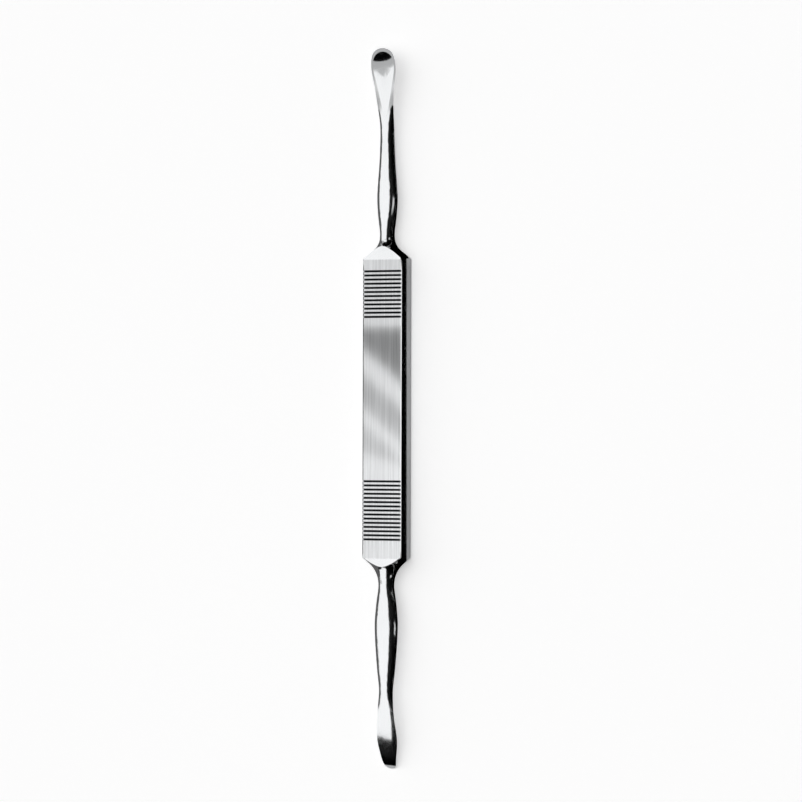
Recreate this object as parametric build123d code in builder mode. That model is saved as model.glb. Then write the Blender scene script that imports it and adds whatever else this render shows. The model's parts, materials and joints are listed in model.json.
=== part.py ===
from build123d import *
import os
from math import atan2, cos, degrees, pi, radians, sin, sqrt, tan

# A double-ended raspatory: a flat handle with a working end forged on each side.
# While it is drawn, Y runs along the tool with the upper end at +Y, X goes across
# the handle and Z stands on its broad faces. It is then laid down as it would rest.

# Whole tool and handle
overall_length = 160.0
handle_length = 66.0
handle_width = 9.8
handle_thickness = 5.0
handle_edge_radius = 0.4
# Where the shoulders run on from the handle, their sides lean in by this angle
shoulder_relief_angle = 1.5

# Cross grooves on both broad faces of the handle, in one group near each end
groove_width = 0.5
groove_depth = 0.25
groove_pitch = 0.92
upper_groove_count = 12
upper_groove_inset = 2.45
lower_groove_count = 15
lower_groove_inset = 4.1

# Upper end. A place is measured back from the tip, a height up from mid thickness, and
# the edge share is how much of the blade's thickness lies above its side edges.
upper_edge_share = 0.0
upper_tip_radius = 3.05
upper_tip_height = 2.83
upper_bend_length = 20.0
upper_nose_length = 4.1
upper_nose_thickness = 1.4
upper_point_place = 2.7
upper_point_width = 5.85
upper_belly_place = 4.1
upper_belly_width = 6.12
upper_heel_place = 9.6
upper_heel_width = 4.55
upper_heel_thickness = 1.9
upper_waist_place = 17.5
upper_waist_width = 3.4
upper_waist_thickness = 2.1
upper_rise_place = 24.0
upper_rise_width = 3.75
upper_swell_place = 33.5
upper_swell_width = 4.95
upper_swell_thickness = 2.45
upper_fall_place = 37.4
upper_fall_width = 4.35
upper_root_place = 40.3
upper_root_width = 3.5
upper_root_thickness = 2.9
upper_flare_radius = 4.0
upper_flare_angle = 47.5
upper_flare_width = 10.6
upper_flare_thickness = 17.0

# Lower end, the same way
lower_edge_share = 0.9
lower_tip_radius = 1.65
lower_tip_height = 3.22
lower_bend_length = 20.0
lower_nose_length = 2.2
lower_nose_thickness = 1.4
lower_point_place = 2.8
lower_point_width = 3.8
lower_belly_place = 6.8
lower_belly_width = 4.96
lower_heel_place = 11.0
lower_heel_width = 4.25
lower_heel_thickness = 1.8
lower_waist_place = 17.8
lower_waist_width = 3.42
lower_waist_thickness = 2.05
lower_rise_place = 22.5
lower_rise_width = 4.45
lower_swell_place = 32.0
lower_swell_width = 5.63
lower_swell_thickness = 2.5
lower_fall_place = 37.3
lower_fall_width = 4.7
lower_root_place = 40.0
lower_root_width = 3.75
lower_root_thickness = 2.7
lower_flare_radius = 6.0
lower_flare_angle = 50.0
lower_flare_width = 11.2
lower_flare_thickness = 8.2

# Ground hollow in the upper blade's concave face, with a rim left round it
hollow_depth = 0.6
hollow_start_place = 0.6
hollow_deepest_place = 3.4
hollow_end_place = 15.0
hollow_margin = 0.25
hollow_cutter_clearance = 0.1

# Sharp edges: their own thickness, and how far the blade leans in from them, as a share
# of half its width
blade_edge_thickness = 0.1
blade_keenness = 0.3

# Shares of a quarter's height and width at which the middle points of its cubic curve
# stand: the first counts up from the side edge, the second out from the crown
ELLIPSE_SHARES = (0.5523, 0.5523)
PARABOLA_SHARES = (2 / 3, 1 / 3)
PARABOLA_LEAN = 1 / 3
END_SECTION_COUNT = 24
CUTTER_SECTION_COUNT = 16

half_length = overall_length / 2
handle_end_place = half_length - handle_length / 2


def smooth(stations, place):
    """Value at a place on a smooth line through (place, value) stations, with no overshoot."""
    steps = [(b[1] - a[1]) / (b[0] - a[0]) for a, b in zip(stations, stations[1:])]
    inner = [2 * p * q / (p + q) if p * q > 0 else 0 for p, q in zip(steps, steps[1:])]
    slopes = [steps[0]] + inner + [steps[-1]]
    spans = zip(stations, stations[1:], slopes, slopes[1:])
    for (start, first), (end, last), slope_in, slope_out in spans:
        if place <= end:
            t = (place - start) / (end - start)
            ends = first * (1 + 2 * t) * (1 - t) ** 2 + last * t * t * (3 - 2 * t)
            bow = slope_in * t * (1 - t) ** 2 - slope_out * t * t * (1 - t)
            return ends + bow * (end - start)
    return stations[-1][1]


def spread(start, end, count):
    """Places from start to end that crowd together towards both, where forms turn round."""
    turns = [pi * (step + 0.4) / (count + 0.4) for step in range(count + 1)]
    return [start + (end - start) * (1 - cos(turn)) / 2 for turn in turns]


def cross_section(place, width, top, edge, bottom, lean, shares=ELLIPSE_SHARES):
    """Closed section across the tool: two crowns, top and bottom, between two side edges.

    Its four curves are kept apart, so that every section of a loft has the same four.
    """
    right = (width / 2, edge)
    left = (-width / 2, edge)
    rise, run = shares

    def quarter(side, crown_height):
        above_side = (side[0] * (1 - lean), edge + rise * (crown_height - edge))
        return side, above_side, (side[0] * run, crown_height), (0, crown_height)

    with BuildLine(Plane.XZ.offset(place - half_length)):
        outline = [
            Bezier(*quarter(right, top), mode=Mode.PRIVATE),
            Bezier(*reversed(quarter(left, top)), mode=Mode.PRIVATE),
            Bezier(*quarter(left, bottom), mode=Mode.PRIVATE),
            Bezier(*reversed(quarter(right, bottom)), mode=Mode.PRIVATE),
        ]
    return make_face(outline)


class WorkingEnd:
    """Width, height and thickness along one working end, from its tip to the handle."""

    def __init__(self, edge_share, tip, nose, bend_length, heel_place, widths, thicknesses, flare):
        self.edge_share = edge_share
        self.tip_radius, self.tip_height = tip
        self.nose_length, nose_thickness = nose
        self.bend_length = bend_length
        self.heel_place = heel_place
        self.tip_end = self.tip_radius / 2
        self.widths = [(self.tip_end, self.tip_width(self.tip_end))] + widths
        self.thicknesses = [nose] + thicknesses
        self.root_width = widths[-1][1]
        self.root_thickness = thicknesses[-1][1]
        self.flare_radius, angle, self.flare_width, self.flare_thickness = flare
        self.flare_turn = radians(angle)
        arc_growth = 2 * self.flare_radius * (1 - cos(self.flare_turn))
        cone_growth = self.flare_width - self.root_width - arc_growth
        self.cone_start = handle_end_place - cone_growth / 2 / tan(self.flare_turn)
        self.flare_start = self.cone_start - self.flare_radius * sin(self.flare_turn)

    def tip_width(self, place):
        """Width across the tip, which is an arc of a circle seen on its face."""
        return 2 * sqrt(self.tip_radius**2 - (self.tip_radius - place) ** 2)

    def flare_growth(self, place):
        """How much wider than the neck's root the trumpet is: an arc, then a cone."""
        if place > self.cone_start:
            slant = 2 * (place - handle_end_place) * tan(self.flare_turn)
            return self.flare_width - self.root_width + slant
        rise = place - self.flare_start
        return 2 * (self.flare_radius - sqrt(self.flare_radius**2 - rise**2))

    def width(self, place):
        if place < self.tip_end:
            return self.tip_width(place)
        if place > self.flare_start:
            return self.root_width + self.flare_growth(place)
        return smooth(self.widths, place)

    def thickness(self, place):
        if place < self.nose_length:
            full = self.thicknesses[0][1] - blade_edge_thickness
            return blade_edge_thickness + full * (1 - (1 - place / self.nose_length) ** 2)
        if place > self.flare_start:
            share = self.flare_growth(place) / (self.flare_width - self.root_width)
            return self.root_thickness + share * (self.flare_thickness - self.root_thickness)
        return smooth(self.thicknesses, place)

    def face(self, place):
        """Height of the concave face; past the bend the section is centred on the handle."""
        if place >= self.bend_length:
            return self.thickness(place) / 2
        neck = self.thickness(self.bend_length) / 2
        return neck + (self.tip_height - neck) * (1 - place / self.bend_length) ** 2

    def roundness(self, place):
        """From 0 on the blade, which has sharp side edges, to 1 on the neck, an ellipse."""
        share = (place - self.heel_place) / (self.bend_length - self.heel_place)
        share = min(1, max(0, share))
        return share * share * (3 - 2 * share)

    def section(self, place):
        face = self.face(place)
        thickness = self.thickness(place)
        roundness = self.roundness(place)
        edge_share = self.edge_share + roundness * (1 / 2 - self.edge_share)
        edge = face - edge_share * thickness
        lean = blade_keenness * (1 - roundness)
        return cross_section(place, self.width(place), face, edge, face - thickness, lean)

    def solid(self):
        """Blade, neck and flare in one skin, from the tip to the handle."""
        places = spread(0, handle_end_place, END_SECTION_COUNT)
        sections = [self.section(place) for place in places]
        with BuildPart() as end:
            loft(sections=sections)
        return end.part

    def hollow_cutter(self, depth, start, deepest, end):
        """Spoon-shaped body that grinds a hollow; its flat top stands clear of the face."""
        lift = hollow_cutter_clearance
        rear = deepest + (end - deepest) / sqrt(depth / (lift + depth))

        def section(place):
            reach = start if place < deepest else rear
            fall = 1 - ((place - deepest) / (reach - deepest)) ** 2
            width = (self.width(max(place, deepest)) - 2 * hollow_margin) * sqrt(fall)
            top = self.face(place) + lift
            bottom = top - fall * (lift + depth)
            return cross_section(place, width, top, top, bottom, PARABOLA_LEAN, PARABOLA_SHARES)

        places = spread(start, rear, CUTTER_SECTION_COUNT)[:-1]
        sections = [section(place) for place in places]
        with BuildPart() as cutter:
            loft(sections=sections)
        return cutter.part


upper_form = WorkingEnd(
    edge_share=upper_edge_share,
    tip=(upper_tip_radius, upper_tip_height),
    nose=(upper_nose_length, upper_nose_thickness),
    bend_length=upper_bend_length,
    heel_place=upper_heel_place,
    widths=[
        (upper_point_place, upper_point_width),
        (upper_belly_place, upper_belly_width),
        (upper_heel_place, upper_heel_width),
        (upper_waist_place, upper_waist_width),
        (upper_rise_place, upper_rise_width),
        (upper_swell_place, upper_swell_width),
        (upper_fall_place, upper_fall_width),
        (upper_root_place, upper_root_width),
    ],
    thicknesses=[
        (upper_heel_place, upper_heel_thickness),
        (upper_waist_place, upper_waist_thickness),
        (upper_swell_place, upper_swell_thickness),
        (upper_root_place, upper_root_thickness),
    ],
    flare=(
        upper_flare_radius,
        upper_flare_angle,
        upper_flare_width,
        upper_flare_thickness,
    ),
)
lower_form = WorkingEnd(
    edge_share=lower_edge_share,
    tip=(lower_tip_radius, lower_tip_height),
    nose=(lower_nose_length, lower_nose_thickness),
    bend_length=lower_bend_length,
    heel_place=lower_heel_place,
    widths=[
        (lower_point_place, lower_point_width),
        (lower_belly_place, lower_belly_width),
        (lower_heel_place, lower_heel_width),
        (lower_waist_place, lower_waist_width),
        (lower_rise_place, lower_rise_width),
        (lower_swell_place, lower_swell_width),
        (lower_fall_place, lower_fall_width),
        (lower_root_place, lower_root_width),
    ],
    thicknesses=[
        (lower_heel_place, lower_heel_thickness),
        (lower_waist_place, lower_waist_thickness),
        (lower_swell_place, lower_swell_thickness),
        (lower_root_place, lower_root_thickness),
    ],
    flare=(
        lower_flare_radius,
        lower_flare_angle,
        lower_flare_width,
        lower_flare_thickness,
    ),
)

# Space that each end may fill: its shoulder is ground down nearly flush with the handle
shoulder_limit_length = handle_thickness
with BuildPart() as flush_limit:
    with BuildSketch(Plane.ZX.offset(handle_length / 2)):
        RectangleRounded(handle_thickness, handle_width, handle_edge_radius)
    extrude(amount=shoulder_limit_length, taper=shoulder_relief_angle)
    with BuildSketch(Plane.ZX.offset(handle_length / 2 + shoulder_limit_length)):
        Rectangle(overall_length, overall_length)
    extrude(amount=overall_length)

upper_blank = upper_form.solid()
hollow_cutter = upper_form.hollow_cutter(
    hollow_depth, hollow_start_place, hollow_deepest_place, hollow_end_place
)
with BuildPart() as upper_end:
    add(upper_blank)
    add(flush_limit.part, mode=Mode.INTERSECT)
    add(hollow_cutter, mode=Mode.SUBTRACT)

lower_blank = lower_form.solid()
with BuildPart() as lower_end:
    add(lower_blank)
    add(flush_limit.part, mode=Mode.INTERSECT)

# Handle: a flat bar, its long edges rounded, with cross grooves in both broad faces
with BuildPart() as handle:
    with BuildSketch(Plane.XZ):
        RectangleRounded(handle_width, handle_thickness, handle_edge_radius)
    extrude(amount=handle_length / 2, both=True)
    upper_group = groove_pitch * (upper_groove_count - 1)
    lower_group = groove_pitch * (lower_groove_count - 1)
    group_middles = [
        (handle_length / 2 - upper_groove_inset - upper_group / 2, upper_groove_count),
        (lower_groove_inset + lower_group / 2 - handle_length / 2, lower_groove_count),
    ]
    with BuildSketch(Plane.YZ):
        for middle, count in group_middles:
            for face_height in (handle_thickness / 2, -handle_thickness / 2):
                with Locations((middle, face_height)):
                    with GridLocations(groove_pitch, groove_pitch, count, 1):
                        Polygon(
                            (-groove_width / 2, 0),
                            (0, -groove_depth),
                            (groove_width / 2, 0),
                            (0, groove_depth),
                        )
    extrude(amount=handle_width, both=True, mode=Mode.SUBTRACT)

# The whole tool; the lower end is the same way up turned over, its face away from +Z
with BuildPart() as tool:
    add(handle.part)
    add(upper_end.part)
    add(lower_end.part, rotation=(180, 0, 0))

# At rest the tool lies on the tip of its lower blade and on the far end of its flat
resting_drop = max(0, lower_tip_height - handle_thickness / 2)
flat_reach = handle_length / 2
rest_angle = -atan2(resting_drop, half_length + flat_reach)
rest_height = handle_thickness / 2 * cos(rest_angle) - flat_reach * sin(rest_angle)
with BuildPart() as raspatory:
    with Locations((0, 0, rest_height)):
        add(tool.part, rotation=(degrees(rest_angle), 0, 0))
raspatory.part.label = "raspatory"

os.makedirs("parts", exist_ok=True)
export_step(raspatory.part, "parts/raspatory.step")
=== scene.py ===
import json
from math import asin, cos, pi, radians, sin

import bpy
from mathutils import Matrix, Vector


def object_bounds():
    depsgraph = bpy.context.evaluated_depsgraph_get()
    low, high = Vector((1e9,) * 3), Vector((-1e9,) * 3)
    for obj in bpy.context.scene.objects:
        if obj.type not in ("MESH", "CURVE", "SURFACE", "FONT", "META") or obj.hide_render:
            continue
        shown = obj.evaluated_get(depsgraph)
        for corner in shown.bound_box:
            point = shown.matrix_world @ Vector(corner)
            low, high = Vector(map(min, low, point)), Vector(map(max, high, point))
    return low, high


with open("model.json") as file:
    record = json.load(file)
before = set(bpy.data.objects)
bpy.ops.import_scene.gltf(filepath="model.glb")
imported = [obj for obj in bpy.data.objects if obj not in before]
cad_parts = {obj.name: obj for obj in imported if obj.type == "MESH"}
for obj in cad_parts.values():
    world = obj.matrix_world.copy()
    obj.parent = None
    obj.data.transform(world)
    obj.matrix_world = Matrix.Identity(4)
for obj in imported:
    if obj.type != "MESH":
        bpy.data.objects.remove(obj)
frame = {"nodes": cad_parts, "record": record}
cad_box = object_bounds()

bl_info = {
    "name": "Raspatory",
    "version": (1, 0, 0),
    "blender": (4, 5, 0),
    "location": "3D View > Sidebar > Raspatory",
    "description": "A double-ended steel raspatory on a pale studio floor",
    "category": "Object",
}

# Handle sizes, in metres. The two mounts of the record lie on its broad faces.
MILLIMETRE = 0.001
front, back = frame["record"]["mounts"]
FRONT_POINT = Vector(front["pos_m"])
BACK_POINT = Vector(back["pos_m"])
FACE_NORMAL = Vector(front["axis"])
HANDLE_THICKNESS = (FRONT_POINT - BACK_POINT).dot(FACE_NORMAL)
HANDLE_TILT = asin(FACE_NORMAL.y)
HANDLE_LENGTH = 66 * MILLIMETRE
HANDLE_WIDTH = 9.8 * MILLIMETRE
EDGE_RADIUS = 0.4 * MILLIMETRE
GROOVE_DEPTH = 0.25 * MILLIMETRE
# The handle's middle is the origin of its own frame. The mounts lie off it, along the handle.
MOUNT_OFFSET = Matrix.Rotation(-HANDLE_TILT, 3, "X") @ Vector((0, FRONT_POINT.y, 0))
HANDLE_MIDDLE = (FRONT_POINT + BACK_POINT) / 2 - MOUNT_OFFSET

# Width over which the satin fades out at the handle's ends and at its edges
END_BORDER = 0.3 * MILLIMETRE
EDGE_BORDER = 0.1 * MILLIMETRE
# Depths in a groove at which its painted shade starts and is full
GROOVE_LIP = 0.01 * MILLIMETRE
GROOVE_SHADE = 0.06 * MILLIMETRE
GROOVE_ROUGHENING = 0.2

# Noises of the steel. Grain and hairlines run along the tool: how many grain pitches a
# grain and a hairline are long, and how many hairlines lie side by side in one pitch.
GRAIN_REACH = 60
HAIRLINE_REACH = 12
HAIRLINES = 4
# Clouds and specks to the metre, each way
CLOUDS = (180, 60, 180)
SPECKS = (5200, 5200, 5200)
# What the noises change: from which noise to which, and the change at either end
GRAIN_TONE = (0.3, 0.7, -0.17, 0.06)
CLOUD_TONE = (0.25, 0.75, -0.035, 0.02)
HAIRLINE_TONE = (0.55, 0.8, 0.0, 0.04)
GRAIN_ROUGHENING = (0.3, 0.7, -0.05, 0.07)
HAIRLINE_ROUGHENING = (0.4, 0.75, 0.0, 0.05)
SPECK_ROUGHENING = (0.62, 0.8, 0.0, 0.06)
# Relief of the grain and the hairlines, as a share of the bump's height
GRAIN_RELIEF = 0.8
HAIRLINE_RELIEF = 0.12
BUMP_STRENGTH = 0.25
BUMP_HEIGHT = 0.02 * MILLIMETRE

# Zones of the sky. Left and right are angles from straight up toward +X, and near and far
# are angles toward +Y. The soft ones are how wide the zones' borders are.
WHITE_LEFT, WHITE_RIGHT = radians(-80), radians(28)
WHITE_NEAR, WHITE_FAR = radians(-4), radians(30)
BLACK_NEAR, BLACK_FAR = radians(-21), radians(48)
BLACK_RIGHT = radians(34)
SOFT_SIDE = radians(4)
SOFT_EDGE = radians(3)
SOFT_LIMIT = radians(2)

# Stage sizes, in metres
FLOOR_REACH = 3.0
TOP_LAMP_SIZE = 1.0
TOP_LAMP_HEIGHT = 1.2
FLOOR_ROUGHNESS = 0.9
FLOOR_SPECULAR = 0.1
BLACK = (0, 0, 0, 1)
WHITE = (1, 1, 1, 1)

# Brightness of the grey cards and of the panes
GREY_CARD = 0.12
WINDOW_PANE = 0.7
# Reach along Y of the cards that each part of the tool mirrors
WHOLE_TOOL = (-0.15, 0.15)
HANDLE = (-0.033, 0.033)
LOWER_HANDLE = (-0.058, -0.004)
UPPER_NECK = (0.034, 0.0665)
UPPER_ROOT = (0.034, 0.048)
UPPER_FLARE = (0.0435, 0.0475)
UPPER_WINDOW = (0.0442, 0.0482)
LOWER_NECK = (-0.070, -0.036)
LOWER_ROOT = (-0.048, -0.034)
LOWER_FLARE = (-0.0645, -0.0480)
LOWER_WINDOW = (-0.0516, -0.0478)
LOWER_BLADE = (-0.0880, -0.0645)
# Cards beside and above the tool: name, finish, the two long edges as (x, z), and the reach
CARDS = (
    ("side_card", "black", (0.0062, 0.0001), (0.0862, 0.0001), WHOLE_TOOL),
    ("edge_card", "white", (0.020, 0.040), (0.045, 0.012), HANDLE),
    ("left_card", "black", (-0.030, 0.026), (-0.034, 0.0), HANDLE),
    ("left_low_card", "black", (-0.034, 0.0001), (-0.006, 0.0001), HANDLE),
    ("panel_card", "white", (-0.065, 0.060), (0.005, 0.060), LOWER_HANDLE),
    ("upper_right_card", "black", (0.0010, 0.033), (0.045, 0.002), UPPER_NECK),
    ("upper_left_card", "grey", (-0.030, 0.0137), (-0.034, 0.0), UPPER_NECK),
    ("upper_low_card", "grey", (-0.034, 0.0001), (-0.004, 0.0001), UPPER_NECK),
    ("upper_root_card", "black", (-0.004, 0.0001), (0.0062, 0.0001), UPPER_ROOT),
    ("upper_window", "pane", (0.0110, 0.0215), (0.0180, 0.0160), UPPER_WINDOW),
    ("lower_right_card", "black", (0.0010, 0.033), (0.045, 0.002), LOWER_NECK),
    ("lower_left_card", "grey", (-0.030, 0.0137), (-0.034, 0.0), LOWER_NECK),
    ("lower_low_card", "grey", (-0.034, 0.0001), (-0.004, 0.0001), LOWER_NECK),
    ("lower_root_card", "black", (-0.004, 0.0001), (0.0062, 0.0001), LOWER_ROOT),
    ("lower_window", "pane", (0.0155, 0.0190), (0.0200, 0.0120), LOWER_WINDOW),
    ("blade_card", "white", (-0.060, 0.034), (-0.0012, 0.034), LOWER_BLADE),
    ("lower_flare_card", "white", (-0.060, 0.034), (-0.0012, 0.034), LOWER_FLARE),
    ("upper_flare_card", "white", (-0.020, 0.012), (0.0008, 0.012), UPPER_FLARE),
)
# Level card close under the blade card, which darkens the lower blade's right side: (x, y)
BLADE_SHADE = ((-0.0130, -0.0890), (0.0100, -0.0890), (0.0100, -0.0710), (-0.0010, -0.0710))
BLADE_SHADE_HEIGHT = 0.0335
# Level grey cards close above the panel, which give it its diagonal sheen. They share their
# left and right X and their height.
SHEEN_SIDES = (-0.0103, 0.0055)
SHEEN_HEIGHT = 0.0100
# Name, brightness, and the Y at left and right of the near edge and of the far edge
SHEEN = (
    ("dark_sheen", 0.22, (0.0162, 0.0038), (0.0184, 0.0184)),
    ("middle_sheen", 0.55, (0.0029, -0.0095), (0.0104, -0.0020)),
    ("pale_sheen", 0.72, (-0.0088, -0.0130), (-0.0006, -0.0128)),
)

# Camera: its sensor in millimetres, and in metres the nearest and farthest that it sees and
# how far right of the tool's middle and toward its upper end it aims
SENSOR_WIDTH = 36.0
CLIP_START, CLIP_END = 0.01, 20
AIM_RIGHT = 3.13 * MILLIMETRE
AIM_UP = 1.8 * MILLIMETRE


class Wire:
    """An output socket of a node tree; arithmetic on it adds Math nodes."""

    def __init__(self, maker, socket):
        self.maker = maker
        self.socket = socket

    def math(self, operation, *values):
        return self.maker.add("ShaderNodeMath", {"operation": operation}, dict(enumerate(values)))

    def __add__(self, other):
        return self.math("ADD", self, other)

    def __radd__(self, other):
        return self.math("ADD", other, self)

    def __sub__(self, other):
        return self.math("SUBTRACT", self, other)

    def __rsub__(self, other):
        return self.math("SUBTRACT", other, self)

    def __mul__(self, other):
        return self.math("MULTIPLY", self, other)

    def __rmul__(self, other):
        return self.math("MULTIPLY", other, self)

    def __abs__(self):
        return self.math("ABSOLUTE", self)

    def ramp(self, start, end, low=0.0, high=1.0):
        """Smooth change from low to high as this value goes from start to end."""
        settings = {"interpolation_type": "SMOOTHSTEP"}
        inputs = {"Value": self, "From Min": start, "From Max": end, "To Min": low, "To Max": high}
        return self.maker.add("ShaderNodeMapRange", settings, inputs)


class Maker:
    """Adds nodes to one tree, which starts empty."""

    def __init__(self, tree):
        self.tree = tree
        tree.nodes.clear()

    def add(self, kind, settings=None, inputs=None, output=0):
        """One node: its settings come first, then the values or wires of its sockets."""
        node = self.tree.nodes.new(kind)
        for name, value in (settings or {}).items():
            setattr(node, name, value)
        for key, value in (inputs or {}).items():
            if isinstance(value, Wire):
                self.tree.links.new(value.socket, node.inputs[key])
            else:
                node.inputs[key].default_value = value
        return Wire(self, node.outputs[output]) if node.outputs else node

    def split(self, vector):
        """X, Y and Z of a vector."""
        return [
            self.add("ShaderNodeSeparateXYZ", {}, {"Vector": vector}, output=axis) for axis in "XYZ"
        ]

    def mix(self, factor, first, second):
        """Colour between two colours."""
        settings = {"data_type": "RGBA"}
        return self.add("ShaderNodeMix", settings, {0: factor, 6: first, 7: second}, output=2)

    def noise(self, place, stretch, detail, roughness=0.5):
        """Noise from 0 to 1 whose grains have that many to the metre each way."""
        scaled = self.add("ShaderNodeMapping", {}, {"Vector": place, "Scale": stretch})
        settings = {"noise_dimensions": "3D"}
        inputs = {"Vector": scaled, "Scale": 1.0, "Detail": detail, "Roughness": roughness}
        return self.add("ShaderNodeTexNoise", settings, inputs)


def rgba(color):
    return (*color, 1.0)


class RaspatorySteel(bpy.types.PropertyGroup):
    """Finish of the steel, and the painted shade at the bottoms of its grooves"""

    steel_color: bpy.props.FloatVectorProperty(
        name="Steel", description="Colour of the bare steel", subtype="COLOR",
        size=3, min=0, max=1, default=(0.80, 0.81, 0.82),
    )
    # Painted shade: a near-black colour that stands in for the shadow at the bottom of a groove
    groove_shade_color: bpy.props.FloatVectorProperty(
        name="Groove", description="Colour of the steel at the bottom of a groove",
        subtype="COLOR", size=3, min=0, max=1, default=(0.045, 0.047, 0.05),
    )
    satin_roughness: bpy.props.FloatProperty(
        name="Satin roughness", description="Roughness of the handle's broad faces",
        subtype="FACTOR", min=0, max=1, default=0.39,
    )
    polish_roughness: bpy.props.FloatProperty(
        name="Polish roughness", description="Roughness of the necks, blades and edges",
        subtype="FACTOR", min=0, max=1, default=0.10,
    )
    grain_pitch: bpy.props.FloatProperty(
        name="Grain pitch", description="Distance across between two lines of the satin grain",
        subtype="DISTANCE", unit="LENGTH", min=0.00005, max=0.002, default=0.00035,
    )


class RaspatoryStage(bpy.types.PropertyGroup):
    """Floor, lights and camera"""

    floor_color: bpy.props.FloatVectorProperty(
        name="Floor", description="Colour of the floor", subtype="COLOR",
        size=3, min=0, max=1, default=(0.93, 0.93, 0.93),
    )
    key_strength: bpy.props.FloatProperty(
        name="Key light", description="Brightness that the white zone adds to the sky",
        min=0, max=10, default=0.62,
    )
    fill_strength: bpy.props.FloatProperty(
        name="Fill light", description="Brightness of the grey zone of the sky",
        min=0, max=10, default=0.5,
    )
    top_strength: bpy.props.FloatProperty(
        name="Top light", description="Brightness of the lamp overhead, which steel doesn't mirror",
        min=0, max=10, default=0.5,
    )
    paper_glow: bpy.props.FloatProperty(
        name="Paper glow", description="Light that the camera alone sees the floor give off",
        min=0, max=1, default=0.505,
    )
    lean: bpy.props.FloatProperty(
        name="Lean", description="How far the camera leans from straight above to the right",
        subtype="ANGLE", unit="ROTATION", min=0, max=radians(80), default=radians(27),
    )
    picture_width: bpy.props.FloatProperty(
        name="Picture width", description="Width of what the camera sees at the tool",
        subtype="DISTANCE", unit="LENGTH", min=0.05, max=1, default=0.178,
    )
    lens: bpy.props.FloatProperty(
        name="Lens", description="Focal length of the camera in millimetres",
        min=20, max=500, default=200,
    )


def steel_material(look):
    """Ground and polished stainless steel, laid out in the handle's own frame."""
    material = bpy.data.materials.new("stainless_steel")
    material.use_nodes = True
    make = Maker(material.node_tree)

    # Place on the tool: across, along and up from the handle's middle
    place = make.add("ShaderNodeTexCoord", output="Object")
    centred = make.add(
        "ShaderNodeVectorMath",
        {"operation": "SUBTRACT"},
        {0: place, 1: HANDLE_MIDDLE},
    )
    level = make.add(
        "ShaderNodeMapping",
        {"vector_type": "POINT"},
        {"Vector": centred, "Rotation": (HANDLE_TILT, 0, 0)},
    )
    across, along, up = (abs(distance) for distance in make.split(level))

    # Where the finishes and the painted groove shade lie
    half_length = HANDLE_LENGTH / 2
    half_thickness = HANDLE_THICKNESS / 2
    groove_bottom = half_thickness - GROOVE_DEPTH
    flat_edge = HANDLE_WIDTH / 2 - EDGE_RADIUS
    on_handle = along.ramp(half_length + END_BORDER, half_length)
    near_face = up.ramp(groove_bottom - EDGE_BORDER, groove_bottom)
    off_edge = across.ramp(flat_edge + EDGE_BORDER, flat_edge)
    satin = on_handle * near_face * off_edge
    # Mask of the painted shade in the grooves, which also roughens them
    in_groove = up.ramp(half_thickness - GROOVE_LIP, half_thickness - GROOVE_SHADE) * satin

    # Grain along the tool, fine polishing lines, cloudy tone and specks
    pitch = 1 / look.grain_pitch
    fine = pitch * HAIRLINES
    grain = make.noise(level, (pitch, pitch / GRAIN_REACH, pitch), 3.0, 0.6)
    hairline = make.noise(level, (fine, pitch / HAIRLINE_REACH, fine), 2.0)
    cloud = make.noise(level, CLOUDS, 2.0)
    speck = make.noise(level, SPECKS, 1.0)

    tone = grain.ramp(*GRAIN_TONE) * satin + cloud.ramp(*CLOUD_TONE)
    shade = (tone + 1.0) - hairline.ramp(*HAIRLINE_TONE)
    steel = make.add(
        "ShaderNodeVectorMath",
        {"operation": "SCALE"},
        {0: look.steel_color, "Scale": shade},
    )
    # Painted shade: the groove bottoms get the dark groove colour in place of the steel's
    color = make.mix(in_groove, steel, rgba(look.groove_shade_color))

    roughness = (
        satin * (look.satin_roughness - look.polish_roughness)
        + grain.ramp(*GRAIN_ROUGHENING) * satin
        + hairline.ramp(*HAIRLINE_ROUGHENING)
        + speck.ramp(*SPECK_ROUGHENING)
        + in_groove * GROOVE_ROUGHENING
        + look.polish_roughness
    )
    height = grain * satin * GRAIN_RELIEF + hairline * HAIRLINE_RELIEF
    bump = make.add(
        "ShaderNodeBump",
        {},
        {"Strength": BUMP_STRENGTH, "Distance": BUMP_HEIGHT, "Height": height},
    )
    shader = make.add(
        "ShaderNodeBsdfPrincipled",
        {},
        {"Base Color": color, "Metallic": 1.0, "Roughness": roughness, "Normal": bump},
    )
    make.add("ShaderNodeOutputMaterial", {}, {"Surface": shader})
    return material


class RASPATORY_OT_tool(bpy.types.Operator):
    """Gives the tool its steel finish, with painted shade in its grooves"""

    bl_idname = "raspatory.tool"
    bl_label = "Finish the tool"

    def execute(self, context):
        tool = frame["nodes"]["raspatory"]
        tool.data.materials.clear()
        tool.data.materials.append(steel_material(context.scene.raspatory_steel))
        return {"FINISHED"}


def card_material(name, brightness):
    """Plain white light of one brightness."""
    material = bpy.data.materials.new(name)
    material.use_nodes = True
    make = Maker(material.node_tree)
    glow = make.add("ShaderNodeEmission", {}, {"Color": WHITE, "Strength": brightness})
    make.add("ShaderNodeOutputMaterial", {}, {"Surface": glow})
    return material


def quad(name, corners, material):
    """Flat four-cornered sheet of the stage."""
    mesh = bpy.data.meshes.new(name)
    mesh.from_pydata(corners, [], [(0, 1, 2, 3)])
    mesh.materials.append(material)
    item = bpy.data.objects.new(name, mesh)
    bpy.context.collection.objects.link(item)
    return item


def sheet(name, start, end, reach, material):
    """Rectangle between two lines along Y, each at an (x, z), over a reach of Y."""
    near, far = reach
    corners = [(x, y, z) for (x, z), y in zip((start, end, end, start), (near, near, far, far))]
    return quad(name, corners, material)


def plate(name, outline, height, material):
    """Level sheet at a height, with its four corners as (x, y)."""
    return quad(name, [(x, y, height) for x, y in outline], material)


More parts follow.
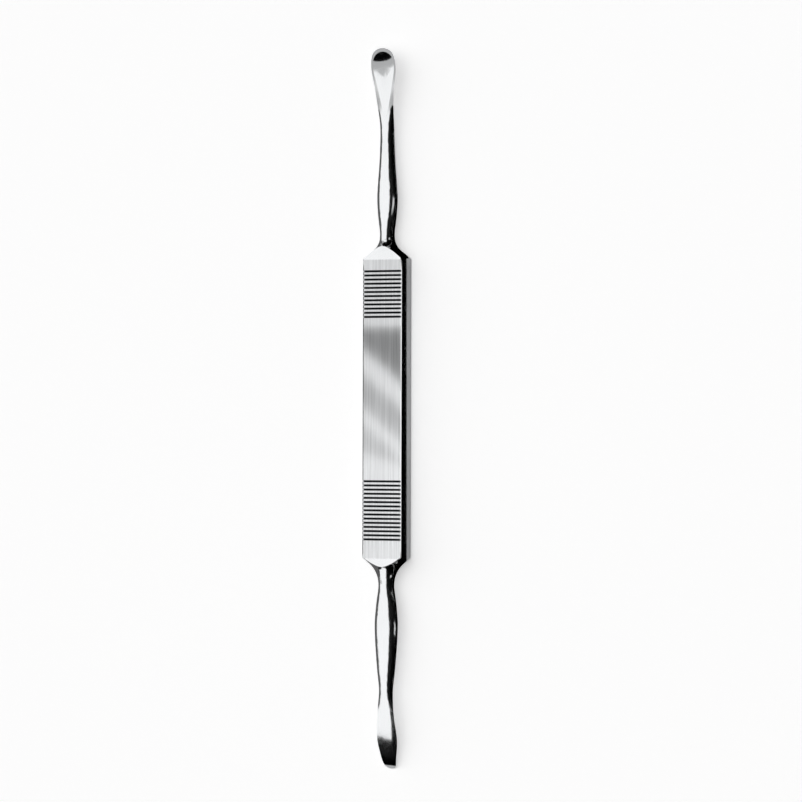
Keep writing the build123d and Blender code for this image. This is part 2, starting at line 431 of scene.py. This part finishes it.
class RASPATORY_OT_stage(bpy.types.Operator):
    """Lays the floor and sets the lights and the camera"""

    bl_idname = "raspatory.stage"
    bl_label = "Set the stage"

    def execute(self, context):
        look = context.scene.raspatory_stage
        self.floor(look)
        self.sky(context, look)
        self.lamp(context, look)
        self.cards(look)
        self.camera(context, look)
        context.scene.view_settings.view_transform = "Standard"
        return {"FINISHED"}

    def floor(self, look):
        """Wide pale floor that the camera alone sees glow, so that it looks white."""
        material = bpy.data.materials.new("floor")
        material.use_nodes = True
        make = Maker(material.node_tree)
        seen = make.add("ShaderNodeLightPath", output="Is Camera Ray")
        glow = make.mix(seen, BLACK, rgba([look.paper_glow] * 3))
        shader = make.add(
            "ShaderNodeBsdfPrincipled",
            {},
            {
                "Base Color": rgba(look.floor_color),
                "Roughness": FLOOR_ROUGHNESS,
                "Specular IOR Level": FLOOR_SPECULAR,
                "Emission Color": glow,
                "Emission Strength": 1.0,
            },
        )
        make.add("ShaderNodeOutputMaterial", {}, {"Surface": shader})
        reach = (-FLOOR_REACH, FLOOR_REACH)
        sheet("floor", (-FLOOR_REACH, 0), (FLOOR_REACH, 0), reach, material)

    def sky(self, context, look):
        """White zone overhead, black ones near both ends and on the right, grey elsewhere.

        The camera sees it plain white.
        """
        world = bpy.data.worlds.new("studio")
        world.use_nodes = True
        context.scene.world = world
        make = Maker(world.node_tree)
        heading = make.add("ShaderNodeTexCoord", output="Generated")
        x, y, z = make.split(heading)
        side = x.math("ARCTAN2", x, z)
        rise = y.math("ARCSINE", y)
        white = (
            side.ramp(WHITE_LEFT - SOFT_SIDE, WHITE_LEFT)
            * side.ramp(WHITE_RIGHT + SOFT_SIDE, WHITE_RIGHT)
            * rise.ramp(WHITE_NEAR - SOFT_EDGE, WHITE_NEAR)
            * rise.ramp(WHITE_FAR + SOFT_EDGE, WHITE_FAR)
        )
        lit = (
            rise.ramp(BLACK_NEAR, BLACK_NEAR + SOFT_LIMIT)
            * rise.ramp(BLACK_FAR, BLACK_FAR - SOFT_LIMIT)
            * side.ramp(BLACK_RIGHT, BLACK_RIGHT - SOFT_SIDE)
        )
        strength = (white * look.key_strength + look.fill_strength) * lit
        seen = make.add("ShaderNodeLightPath", output="Is Camera Ray")
        paper = seen + (1.0 - seen) * strength
        back = make.add("ShaderNodeBackground", {}, {"Color": WHITE, "Strength": paper})
        make.add("ShaderNodeOutputWorld", {}, {"Surface": back})

    def lamp(self, context, look):
        """Square lamp overhead, whose every point glows at the top light's strength."""
        data = bpy.data.lights.new("top_lamp", "AREA")
        data.shape = "RECTANGLE"
        data.size = TOP_LAMP_SIZE
        data.size_y = TOP_LAMP_SIZE
        data.energy = look.top_strength * pi * TOP_LAMP_SIZE**2
        lamp = bpy.data.objects.new("top_lamp", data)
        lamp.matrix_world = Matrix.Translation((0, 0, TOP_LAMP_HEIGHT))
        lamp.visible_glossy = False
        context.collection.objects.link(lamp)

    def cards(self, look):
        """Sheets round the tool that only the steel sees."""
        finishes = {
            "black": card_material("black_card", 0.0),
            "grey": card_material("grey_card", GREY_CARD),
            "white": card_material("white_card", look.fill_strength + look.key_strength),
            "pane": card_material("window_card", WINDOW_PANE),
        }
        cards = [
            sheet(name, start, end, reach, finishes[finish])
            for name, finish, start, end, reach in CARDS
        ]
        left, right = SHEEN_SIDES
        for name, brightness, near, far in SHEEN:
            outline = ((left, near[0]), (right, near[1]), (right, far[1]), (left, far[0]))
            cards.append(plate(name, outline, SHEEN_HEIGHT, card_material(name, brightness)))
        cards.append(plate("blade_shade", BLADE_SHADE, BLADE_SHADE_HEIGHT, finishes["black"]))
        for card in cards:
            card.visible_camera = False
            card.visible_diffuse = False
            card.visible_shadow = False

    def camera(self, context, look):
        """Camera above the tool, leaning to its right, with the upper end up in the picture."""
        data = bpy.data.cameras.new("camera")
        data.sensor_width = SENSOR_WIDTH
        data.lens = look.lens
        data.clip_start = CLIP_START
        data.clip_end = CLIP_END
        distance = look.picture_width * look.lens / SENSOR_WIDTH
        right = Vector((cos(look.lean), 0, -sin(look.lean)))
        along = Vector((0, 1, 0))
        toward = Vector((sin(look.lean), 0, cos(look.lean)))
        middle = (Vector(cad_box[0]) + Vector(cad_box[1])) / 2
        aim = middle + right * AIM_RIGHT + along * AIM_UP
        turn = Matrix((right, along, toward)).transposed().to_4x4()
        camera = bpy.data.objects.new("camera", data)
        camera.matrix_world = Matrix.Translation(aim + toward * distance) @ turn
        context.collection.objects.link(camera)
        context.scene.camera = camera


class RASPATORY_PT_panel(bpy.types.Panel):
    """Lists the steps and their settings"""

    bl_label = "Raspatory"
    bl_idname = "RASPATORY_PT_panel"
    bl_space_type = "VIEW_3D"
    bl_region_type = "UI"
    bl_category = "Raspatory"

    def draw(self, context):
        for operator, group in (
            ("raspatory.tool", context.scene.raspatory_steel),
            ("raspatory.stage", context.scene.raspatory_stage),
        ):
            box = self.layout.box()
            for name in group.__annotations__:
                box.prop(group, name)
            box.operator(operator)


CLASSES = (
    RaspatorySteel,
    RaspatoryStage,
    RASPATORY_OT_tool,
    RASPATORY_OT_stage,
    RASPATORY_PT_panel,
)


def register():
    for cls in CLASSES:
        bpy.utils.register_class(cls)
    bpy.types.Scene.raspatory_steel = bpy.props.PointerProperty(type=RaspatorySteel)
    bpy.types.Scene.raspatory_stage = bpy.props.PointerProperty(type=RaspatoryStage)


def unregister():
    del bpy.types.Scene.raspatory_stage
    del bpy.types.Scene.raspatory_steel
    for cls in reversed(CLASSES):
        bpy.utils.unregister_class(cls)


def main():
    register()
    bpy.ops.raspatory.tool()
    bpy.ops.raspatory.stage()


if __name__ == "__main__":
    main()
